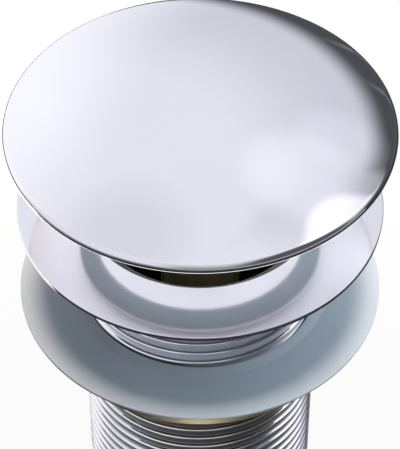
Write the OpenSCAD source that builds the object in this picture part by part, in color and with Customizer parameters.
// Push-operated pop-up waste for a basin, drawn open, in millimetres.
// Z = 0 is the basin surface under the flange gasket, and Z runs up the axis of the waste.

/* [Flange] */
// Outer diameter of the flange
flange_d = 63; // [58:0.5:70]
// Thickness of the flange beside the tail
flange_t = 2; // [1.6:0.1:3]
// Height of the flange's upright edge
flange_edge = 0.75; // [0.6:0.05:1.2]
// Radius that breaks the flange's top edge
flange_break = 0.25; // [0.1:0.05:0.4]
// Diameter of the mouth at the top of its sealing bevel
mouth_d = 41; // [40:0.25:43]
// Outer diameter of the gasket under the flange
gasket_d = 55; // [48:0.5:57]
// Thickness of the gasket under the flange
gasket_t = 1.5; // [1:0.1:3]

/* [Tail] */
// Major diameter of the tail thread, size G 1 1/4
thread_d = 41.91; // [41:0.01:43]
// Distance from crest to crest of the tail thread
thread_pitch = 2.309; // [1.5:0.001:2.4]
// Depth of the tail thread
thread_depth = 1.479; // [0.9:0.001:1.5]
// Plain stretch of the tail between flange and thread
thread_start = 2.6; // [1.5:0.1:5]
// Bore of the tail above the bridge
bore_d = 36; // [35:0.25:37]
// Bore of the outlet below the bridge
outlet_d = 36.8; // [35.5:0.1:37.8]
// Length of the outlet below the bridge
outlet_len = 6; // [4:0.5:20]
// Chamfer that starts the thread at the tail's end
tail_chamfer = 1.2; // [0.6:0.1:1.4]

/* [Bridge] */
// Height of the bridge that carries the cartridge
bridge_h = 8; // [6:0.5:12]
// Thickness of each bridge arm
arm_t = 4; // [3:0.25:5]
// Number of bridge arms
arm_count = 4; // [3:1:5]
// Diameter of the boss in the middle of the bridge
boss_d = 17; // [15:0.5:18]
// Diameter of the cartridge stud that screws into the boss
stud_d = 10; // [8:0.5:11]

/* [Clamping set] */
// Room for the basin between gasket and clamp washer
clamp_gap = 16.25; // [6:0.25:24]
// Outer diameter of the clamp washer
washer_d = 64; // [58:0.5:70]
// Thickness of the clamp washer
washer_t = 0.6; // [0.5:0.1:2]
// Diameter of the raised collar round the washer's hole
collar_d = 46; // [44.5:0.25:50]
// Height of the raised collar
collar_h = 0.4; // [0.2:0.05:1]
// Outer diameter of the backnut
nut_d = 56; // [52:0.5:60]
// Thickness of the backnut
nut_t = 6.3; // [4:0.1:9]
// Radius of the backnut's outer edges
nut_edge = 0.5; // [0.2:0.1:1]
// Number of hook spanner notches in the backnut
notch_count = 4; // [2:1:8]
// Width of a spanner notch
notch_w = 5; // [3:0.5:8]
// Depth of a spanner notch
notch_depth = 2; // [1:0.25:3.5]

/* [Cap] */
// Diameter of the cap
cap_d = 65.8; // [60:0.2:72]
// Rise of the dome above the widest line of the rim
cap_rise = 7; // [5:0.25:10]
// Radius of the rolled rim
cap_rim_r = 1.1; // [0.8:0.05:1.6]
// Depth of the threaded socket in the cap's flat underside
socket_depth = 5.4; // [3.5:0.1:5.6]

/* [Plug] */
// Height of the plug's underside above the flange when open
lift = 8.95; // [7:0.05:12]
// Width of the seal's lip round the plate that holds it
seal_lip = 0.68; // [0.5:0.02:1.2]
// Height of the seal's cone
cone_h = 2.8; // [2:0.1:3.4]
// Height of the whole seal
seal_h = 3.4; // [3:0.1:4.5]
// Diameter of the plate that holds the seal from below
retainer_d = 34.4; // [30:0.1:34.8]
// Thickness of the plate that holds the seal
retainer_t = 1.6; // [1.2:0.1:2.2]
// Diameter of the carrier's spigot inside the seal
spigot_d = 26; // [20:0.5:29]
// Step from the seal's edge in to the carrier's shoulder above it
shoulder_step = 0.2; // [0.1:0.05:1]
// Thickness of the carrier's shoulder
shoulder_t = 1.6; // [1.2:0.1:2.5]
// Diameter of the carrier's neck under the cap
neck_d = 32; // [22:0.5:35]
// Height of the carrier's neck under the cap
neck_h = 2.13; // [1:0.01:4]
// Width across the flats of the lock nut
lock_af = 13; // [11:0.5:15]
// Height of the lock nut
lock_h = 3.2; // [2:0.1:3.6]
// Gap left between seal and mouth when closed, so that the rubber isn't squeezed
seat_gap = 0.45; // [0.4:0.05:1]

/* [Cartridge] */
// Outer diameter of the cartridge housing
housing_d = 14; // [13.5:0.1:15.5]
// Wall of the housing round the guide
housing_wall = 1.3; // [1:0.05:1.5]
// Depth of the housing's top below the flange
housing_drop = 6.5; // [6:0.25:10]
// Thickness of the housing's floor
floor_t = 1.5; // [1:0.1:3]
// Width across the two spanner flats of the housing
flat_af = 12.6; // [12:0.1:13.2]
// Height of the two spanner flats
flat_h = 6; // [4:0.5:10]
// Thickness of the washer under the housing
seat_washer_t = 1; // [0.6:0.1:2]
// Diameter of the washer under the housing
seat_washer_d = 16; // [14:0.5:17]
// Diameter of the plunger rod
rod_d = 8; // [7:0.1:8.2]
// Length of the guide bush
guide_len = 6; // [5:0.25:12]
// Thickness of the wiper ring
wiper_d = 1.1; // [0.8:0.05:1.2]
// Thickness of the circlip
circlip_t = 0.8; // [0.6:0.05:1.2]
// Depth of the circlip below the housing's top
circlip_drop = 0.8; // [0.6:0.1:2]
// Depth of the circlip groove in the housing wall
circlip_groove = 0.5; // [0.3:0.05:0.7]
// Opening of the circlip, in degrees
circlip_gap = 60; // [30:5:90]

/* [Latch] */
// Diameter of the latch cam
cam_d = 9; // [8.8:0.05:9.2]
// Diameter of the floor of the cam track
track_d = 5.6; // [5.2:0.1:6]
// Number of upright lanes in the cam track
lane_count = 4; // [3:1:4]
// Diameter of the latch pins
pin_d = 1.4; // [1.2:0.05:1.6]
// Room on each side of a latch pin in its lane
track_clear = 0.3; // [0.2:0.05:0.4]
// Height of the ratchet teeth at both ends of the islands
tooth_h = 1.3; // [1:0.05:1.6]
// Height between the lower and the upper teeth
tooth_gap = 0.4; // [0.3:0.05:0.8]
// Thickness of the walls that close the cam track at both ends
end_wall = 1.2; // [0.8:0.1:2]
// Height of the turning latch ring
ring_h = 3; // [2.4:0.1:4]
// Diameter of the rod's spigot inside the cam
core_d = 4; // [3:0.1:4.4]
// Diameter of the cross pin that holds the cam on the rod
cross_d = 1.5; // [1:0.1:2]

/* [Spring] */
// Diameter of the spring wire
wire_d = 0.8; // [0.6:0.05:0.9]
// Mean diameter of the spring
coil_d = 8; // [7.6:0.05:8.2]
// Number of turns, with one closed turn at each end
turns = 6.5; // [5:0.5:6.5]
// Length left for the spring when the plug is closed
spring_shut = 6.5; // [6.2:0.1:12]
// Thickness of the seat under the spring
seat_t = 0.8; // [0.6:0.1:2]
// Height of the pilots that centre the spring at both ends
pilot_h = 2; // [1:0.25:2.6]

/* [Fits] */
// Radial clearance of pieces that slide or turn in each other
run_clear = 0.05; // [0.02:0.01:0.09]
// Radial clearance of pieces that are screwed or pressed together
fit_clear = 0.02; // [0.01:0.01:0.05]
// Radial clearance round pieces that pass freely
free_clear = 0.35; // [0.3:0.05:0.5]
// Gap between stacked faces that slide on each other
face_gap = 0.1; // [0.05:0.05:0.2]

/* [Hidden] */

$fn = 96;
dome_fn = 360;
// Overlap that makes a cut or a joined piece pass its partner's face
over = 0.5;
small_chamfer = 0.4;

chrome = [0.86, 0.87, 0.90];
brass = [0.72, 0.66, 0.42];
pale_washer = [0.66, 0.70, 0.75];
seal_grey = [0.45, 0.49, 0.53];
gasket_grey = [0.55, 0.60, 0.65];
ring_black = [0.12, 0.12, 0.13];
retainer_white = [0.90, 0.90, 0.93];
acetal = [0.85, 0.85, 0.80];
steel = [0.62, 0.63, 0.65];

// Radii taken from the driving diameters
flange_r = flange_d / 2;
mouth_r = mouth_d / 2;
thread_r = thread_d / 2;
bore_r = bore_d / 2;
outlet_r = outlet_d / 2;
stud_r = stud_d / 2;
cap_r = cap_d / 2;
seal_r = retainer_d / 2 + fit_clear + seal_lip;
rod_r = rod_d / 2;
housing_r = housing_d / 2;
cam_r = cam_d / 2;
track_r = track_d / 2;
pin_r = pin_d / 2;

// Heights of the flange, the mouth and the plug above it
flange_top = gasket_t + flange_t;
flange_slope = (flange_t - flange_edge) * 2;
bevel_foot = flange_top - (mouth_r - bore_r);
plug_z = flange_top + lift;
retainer_top = plug_z + retainer_t;
seal_top = plug_z + seal_h;
shoulder_top = seal_top + shoulder_t;
cap_foot = shoulder_top + neck_h;
rim_z = cap_foot + cap_rim_r;
rod_top = cap_foot + socket_depth - face_gap;
// Travel of the plug from open to closed, where the two cones face each other across the seat gap
stroke = lift + mouth_r - seal_r - seat_gap;

// The dome is an arc that runs into the rolled rim without a corner
rim_c = cap_r - cap_rim_r;
dome_r = (rim_c * rim_c + cap_rise * cap_rise - cap_rim_r * cap_rim_r) / (2 * (cap_rise - cap_rim_r));
dome_c = rim_z + cap_rise - dome_r;
dome_edge = rim_c * dome_r / (dome_r - cap_rim_r);

// Heights of the clamping set
washer_top = -clamp_gap;
nut_top = washer_top - washer_t;

// Heights of the cartridge, from its top down to the tail's end
housing_top = flange_top - housing_drop;
circlip_top = housing_top - circlip_drop;
guide_top = circlip_top - circlip_t;
guide_foot = guide_top - guide_len;
cam_top = guide_foot - face_gap;
tooth_root = pin_r + run_clear;
notch_z = cam_top - end_wall - 2 * tooth_h - tooth_gap + tooth_root;
pin_z = notch_z - stroke;
lane_half = pin_r + track_clear;
cam_foot = pin_z - lane_half - end_wall;
spring_len = spring_shut + stroke;
spring_foot = cam_foot - spring_len;
floor_z = spring_foot - seat_t;
housing_foot = floor_z - floor_t;
bridge_top = housing_foot - seat_washer_t;
bridge_foot = bridge_top - bridge_h;
tail_end = bridge_foot - outlet_len;
// Top of the thread, and the turns that fit between it and the tail's chamfer
thread_top = gasket_t - thread_start;
thread_turns = floor((thread_top - tail_end - tail_chamfer) / thread_pitch);
stud_foot = bridge_foot + small_chamfer;
ring_top = pin_z + ring_h / 2;
ring_foot = pin_z - ring_h / 2;

// Radii inside the cartridge
housing_bore = housing_r - housing_wall;
ring_in = cam_r + run_clear;
ring_out = housing_bore - run_clear;
lower_bore = (ring_in + ring_out) / 2;
wiper_c = rod_r + run_clear + wiper_d / 2;
pin_tip = track_r + track_clear;
pilot_r = coil_d / 2 - wire_d / 2 - free_clear;

// Twice as many teeth as lanes: each press moves the pins on by one tooth
tooth_count = 2 * lane_count;
tooth_pitch = 360 / tooth_count;
// Share of the pitch that a ceiling tooth fills
tooth_share = 0.8;
ceiling_z = cam_top - end_wall;
// Angle from a pin at rest to the upright tooth face beside it
pin_angle = asin(tooth_root / ((cam_r + track_r) / 2));
// Half the angle of an island, which leaves the lanes wide enough at the tips of the pins
island_half = tooth_pitch - asin(lane_half / pin_tip);
// The lane that holds the first pin when the plug is open
first_lane = -90;

// Ring of rectangular section
module ring(r_in, r_out, z0, z1) {
    rotate_extrude() translate([r_in, z0]) square([r_out - r_in, z1 - z0]);
}

// Section of a ring whose two outer edges are rounded
module rounded_section(r_in, r_out, z0, z1, edge) {
    translate([r_in, z0]) square([r_out - edge - r_in, z1 - z0]);
    translate([r_in, z0 + edge]) square([r_out - r_in, z1 - z0 - 2 * edge]);
    for (z = [z0 + edge, z1 - edge]) translate([r_out - edge, z]) circle(edge);
}

// Section of one turn of the thread's groove, with flanks at 27.5 degrees between flat crests and roots
module thread_groove() {
    root_half = thread_pitch / 12;
    mouth_half = thread_pitch * 5 / 12;
    polygon([
        [thread_r - thread_depth, -root_half], [thread_r, -mouth_half], [thread_r + over, -mouth_half],
        [thread_r + over, mouth_half], [thread_r, mouth_half], [thread_r - thread_depth, root_half]
    ]);
}

// Section of the flange and the tail, with the sealing bevel at the mouth
module body_section() {
    difference() {
        polygon([
            [mouth_r, flange_top], [flange_r - flange_break, flange_top], [flange_r, flange_top - flange_break],
            [flange_r, flange_top - flange_edge], [flange_r - flange_slope, gasket_t], [thread_r, gasket_t],
            [thread_r, tail_end + tail_chamfer], [thread_r - tail_chamfer, tail_end], [outlet_r, tail_end],
            [outlet_r, bridge_foot], [bore_r, bridge_foot], [bore_r, bevel_foot]
        ]);
        for (k = [1 : thread_turns]) translate([0, thread_top - (k - 0.5) * thread_pitch]) thread_groove();
    }
    translate([flange_r - flange_break, flange_top - flange_break]) circle(flange_break);
}

// One bridge arm, with a roof that parts the water
module bridge_arm() {
    roof = arm_t / 2;
    translate([0, 0, bridge_foot]) rotate([90, 0, 90]) linear_extrude(bore_r + over)
        polygon([[-arm_t / 2, 0], [arm_t / 2, 0], [arm_t / 2, bridge_h - roof], [0, bridge_h],
            [-arm_t / 2, bridge_h - roof]]);
}

module waste_body() color(chrome) {
    difference() {
        union() {
            rotate_extrude() body_section();
            for (k = [0 : arm_count - 1]) rotate(k * 360 / arm_count) bridge_arm();
            translate([0, 0, bridge_foot]) cylinder(d = boss_d, h = bridge_h);
        }
        translate([0, 0, bridge_foot - over]) cylinder(r = stud_r + fit_clear, h = bridge_h + 2 * over);
    }
}

module flange_gasket() color(gasket_grey)
    ring(thread_r + free_clear, gasket_d / 2, 0, gasket_t);

module clamp_washer() color(pale_washer) {
    rotate_extrude() rounded_section(thread_r + free_clear, washer_d / 2, nut_top, washer_top, washer_t / 4);
    ring(thread_r + free_clear, collar_d / 2, washer_top - washer_t / 2, washer_top + collar_h);
}

module backnut() color(brass) difference() {
    rotate_extrude() rounded_section(thread_r + run_clear, nut_d / 2, nut_top - nut_t, nut_top, nut_edge);
    for (k = [0 : notch_count - 1]) rotate((k + 0.5) * 360 / notch_count)
        translate([nut_d / 2 - notch_depth, -notch_w / 2, nut_top - nut_t - over])
            cube([notch_depth + over, notch_w, nut_t + 2 * over]);
}

module cap_section() {
    difference() {
        union() {
            intersection() {
                translate([0, dome_c]) circle(dome_r, $fn = dome_fn);
                translate([0, rim_z]) square([dome_edge, cap_rise + over]);
            }
            translate([0, cap_foot]) square([rim_c, cap_rim_r]);
            translate([rim_c, rim_z]) circle(cap_rim_r);
        }
        translate([0, cap_foot - over]) square([rod_r + fit_clear, socket_depth + over]);
    }
}

module cap() color(chrome) rotate_extrude() intersection() {
    cap_section();
    translate([0, cap_foot - over]) square([cap_r, cap_rise + 2 * cap_rim_r + over]);
}

module seal_carrier() color(retainer_white) difference() {
    union() {
        translate([0, 0, retainer_top]) cylinder(d = spigot_d, h = seal_top - retainer_top);
        translate([0, 0, seal_top]) cylinder(r = seal_r + cone_h - shoulder_step, h = shoulder_t);
        translate([0, 0, shoulder_top]) cylinder(d = neck_d, h = neck_h);
    }
    translate([0, 0, retainer_top - over]) cylinder(r = rod_r + fit_clear, h = cap_foot - retainer_top + 2 * over);
}

module cap_seal() color(seal_grey) rotate_extrude() polygon([
    [retainer_d / 2 + fit_clear, plug_z], [seal_r, plug_z], [seal_r + cone_h, plug_z + cone_h],
    [seal_r + cone_h, seal_top], [spigot_d / 2 + fit_clear, seal_top],
    [spigot_d / 2 + fit_clear, retainer_top], [retainer_d / 2 + fit_clear, retainer_top]
]);

module seal_retainer() color(retainer_white)
    ring(rod_r + fit_clear, retainer_d / 2, plug_z, retainer_top);

module lock_nut() color(brass) difference() {
    corner_r = lock_af / 2 / cos(30);
    intersection() {
        translate([0, 0, plug_z - lock_h]) cylinder(r = corner_r, h = lock_h, $fn = 6);
        translate([0, 0, plug_z - lock_h])
            cylinder(r1 = lock_af / 2, r2 = lock_af / 2 + lock_h * 2, h = lock_h);
    }
    translate([0, 0, plug_z - lock_h - over]) cylinder(r = rod_r + fit_clear, h = lock_h + 2 * over);
}

module plunger_rod() color(brass) difference() {
    rotate_extrude() polygon([
        [0, cam_foot + end_wall], [core_d / 2, cam_foot + end_wall], [core_d / 2, cam_top], [rod_r, cam_top],
        [rod_r, rod_top - small_chamfer], [rod_r - small_chamfer, rod_top], [0, rod_top]
    ]);
    cross_hole(fit_clear, cam_d);
}

// Sector of the ring that holds the track, from the angle 0 on
module track_sector(angle) {
    rotate_extrude(angle = angle) translate([track_r - over, cam_foot])
        square([cam_r - track_r + over, cam_top - cam_foot]);
}

// Island between two lanes, with a notch on top that catches a pin and a ramp that lets it into the next lane
module cam_island() {
    reach = cam_r * sin(island_half);
    ramp = tooth_h / (2 * cam_r * sin(tooth_pitch / 2));
    valley_z = notch_z - tooth_root;
    intersection() {
        rotate(-island_half) track_sector(2 * island_half);
        rotate([90, 0, 90]) linear_extrude(cam_d) polygon([
            [-reach, pin_z + lane_half], [reach, pin_z + lane_half],
            [reach, valley_z + tooth_h - ramp * (reach - tooth_root)], [tooth_root, valley_z + tooth_h],
            [tooth_root, valley_z], [-reach, valley_z + ramp * (reach + tooth_root)]
        ]);
    }
}

// Saw tooth under the ceiling of the track, which pushes a pressed pin onward
module ceiling_tooth() {
    sector = tooth_pitch * tooth_share;
    reach = cam_r * sin(sector / 2);
    intersection() {
        track_sector(sector);
        rotate(sector / 2) rotate([90, 0, 90]) linear_extrude(cam_d)
            polygon([[-reach, ceiling_z - tooth_h], [reach, ceiling_z], [reach, cam_top - small_chamfer],
                [-reach, cam_top - small_chamfer]]);
    }
}

module cross_hole(clear, length) {
    rotate(first_lane + tooth_pitch) translate([0, 0, (pin_z + notch_z) / 2]) rotate([0, 90, 0])
        cylinder(r = cross_d / 2 + clear, h = length, center = true, $fn = 32);
}

module latch_cam() color(acetal) difference() {
    union() {
        rotate_extrude() polygon([
            [0, cam_foot - pilot_h], [pilot_r, cam_foot - pilot_h], [pilot_r, cam_foot], [cam_r, cam_foot],
            [cam_r, pin_z - lane_half], [track_r, pin_z - lane_half], [track_r, ceiling_z],
            [cam_r, ceiling_z], [cam_r, cam_top], [0, cam_top]
        ]);
        for (k = [0 : lane_count - 1]) rotate(first_lane + (2 * k + 1) * tooth_pitch) cam_island();
        for (k = [0 : tooth_count - 1])
            rotate(first_lane + (k + 0.5) * tooth_pitch + pin_angle) ceiling_tooth();
    }
    translate([0, 0, cam_foot + end_wall - face_gap])
        cylinder(r = core_d / 2 + fit_clear, h = cam_top - cam_foot);
    cross_hole(fit_clear, cam_d + over);
}

module cam_cross_pin() color(steel) cross_hole(0, cam_d - 2 * face_gap);

module cartridge_housing() color(brass) difference() {
    rotate_extrude() polygon([
        [0, stud_foot], [stud_r - small_chamfer, stud_foot], [stud_r, stud_foot + small_chamfer],
        [stud_r, housing_foot], [housing_r, housing_foot], [housing_r, housing_top - small_chamfer],
        [housing_r - small_chamfer, housing_top], [housing_bore, housing_top],
        [housing_bore, circlip_top], [housing_bore + circlip_groove, circlip_top],
        [housing_bore + circlip_groove, guide_top], [housing_bore, guide_top],
        [housing_bore, ring_foot - face_gap], [lower_bore, ring_foot - face_gap],
        [lower_bore, floor_z], [0, floor_z]
    ]);
    for (side = [0, 180]) rotate(side) translate([flat_af / 2, -housing_r, housing_foot - over])
        cube([housing_r, housing_d, flat_h + over]);
}

module housing_washer() color(steel)
    ring(stud_r + fit_clear, seat_washer_d / 2, bridge_top, housing_foot);

module circlip() color(steel) {
    ring_r = housing_bore + circlip_groove - fit_clear;
    eye_r = (housing_bore - rod_r - free_clear) / 2;
    difference() {
        union() {
            rotate(circlip_gap / 2 - 90) rotate_extrude(angle = 360 - circlip_gap)
                translate([housing_bore - circlip_groove, guide_top])
                    square([ring_r - housing_bore + circlip_groove, circlip_t]);
            for (side = [-1, 1]) rotate(side * circlip_gap / 2 - 90)
                translate([housing_bore - eye_r, 0, guide_top]) cylinder(r = eye_r, h = circlip_t, $fn = 32);
        }
        for (side = [-1, 1]) rotate(side * circlip_gap / 2 - 90)
            translate([housing_bore - eye_r, 0, guide_top - over])
                cylinder(r = eye_r / 2, h = circlip_t + 2 * over, $fn = 32);
    }
}

module guide_bush() color(acetal) {
    groove_z = (guide_top + guide_foot) / 2;
    groove_h = wiper_d + 2 * face_gap;
    difference() {
        ring(rod_r + run_clear, housing_bore - fit_clear, guide_foot, guide_top);
        ring(rod_r, wiper_c + wiper_d / 2 + fit_clear, groove_z - groove_h / 2, groove_z + groove_h / 2);
    }
}

module wiper_ring() color(ring_black) rotate_extrude()
    translate([wiper_c, (guide_top + guide_foot) / 2]) circle(wiper_d / 2, $fn = 32);

module spacer_sleeve() color(acetal)
    ring(cam_r + free_clear, housing_bore - fit_clear, ring_top + face_gap, guide_foot);

module latch_pin(clear) {
    translate([0, 0, pin_z]) rotate([0, 90, 0]) translate([0, 0, pin_tip])
        cylinder(r = pin_r + clear, h = ring_out - pin_tip - face_gap, $fn = 32);
}

module latch_ring() color(steel) difference() {
    ring(ring_in, ring_out, ring_foot, ring_top);
    for (side = [0, 180]) rotate(first_lane + side)
        translate([0, 0, pin_z]) rotate([0, 90, 0]) cylinder(r = pin_r + fit_clear, h = housing_r, $fn = 32);
}

module latch_pins() color(steel)
    for (side = [0, 180]) rotate(first_lane + side) latch_pin(0);

// Height of the spring's wire after a number of turns: the first and the last turn lie closed
function closed_pitch() = wire_d * 1.06;
function open_pitch() = (spring_len - 2 * face_gap - wire_d - 2 * closed_pitch()) / (turns - 2);
function wire_z(turn) = spring_foot + face_gap + wire_d / 2
    + closed_pitch() * (min(turn, 1) + max(turn - turns + 1, 0))
    + open_pitch() * (min(max(turn, 1), turns - 1) - 1);

module spring() color(steel) {
    steps_per_turn = 20;
    sides = 8;
    steps = turns * steps_per_turn;
    points = [for (i = [0 : steps]) for (s = [0 : sides - 1])
        let (a = 360 * i / steps_per_turn, b = 360 * s / sides, r = coil_d / 2 + wire_d / 2 * cos(b))
            [r * cos(a), r * sin(a), wire_z(i / steps_per_turn) + wire_d / 2 * sin(b)]];
    skin = [for (i = [0 : steps - 1]) for (s = [0 : sides - 1])
        let (n = (s + 1) % sides) [i * sides + s, i * sides + n, (i + 1) * sides + n, (i + 1) * sides + s]];
    start = [for (s = [0 : sides - 1]) sides - 1 - s];
    finish = [for (s = [0 : sides - 1]) steps * sides + s];
    polyhedron(points, concat(skin, [start, finish]));
}

module spring_seat() color(acetal) {
    translate([0, 0, floor_z]) cylinder(r = lower_bore - fit_clear, h = seat_t);
    translate([0, 0, floor_z]) cylinder(r = pilot_r, h = seat_t + pilot_h);
}

waste_body();
flange_gasket();
clamp_washer();
backnut();
cap();
seal_carrier();
cap_seal();
seal_retainer();
lock_nut();
plunger_rod();
latch_cam();
cam_cross_pin();
cartridge_housing();
housing_washer();
circlip();
guide_bush();
wiper_ring();
spacer_sleeve();
latch_ring();
latch_pins();
spring();
spring_seat();
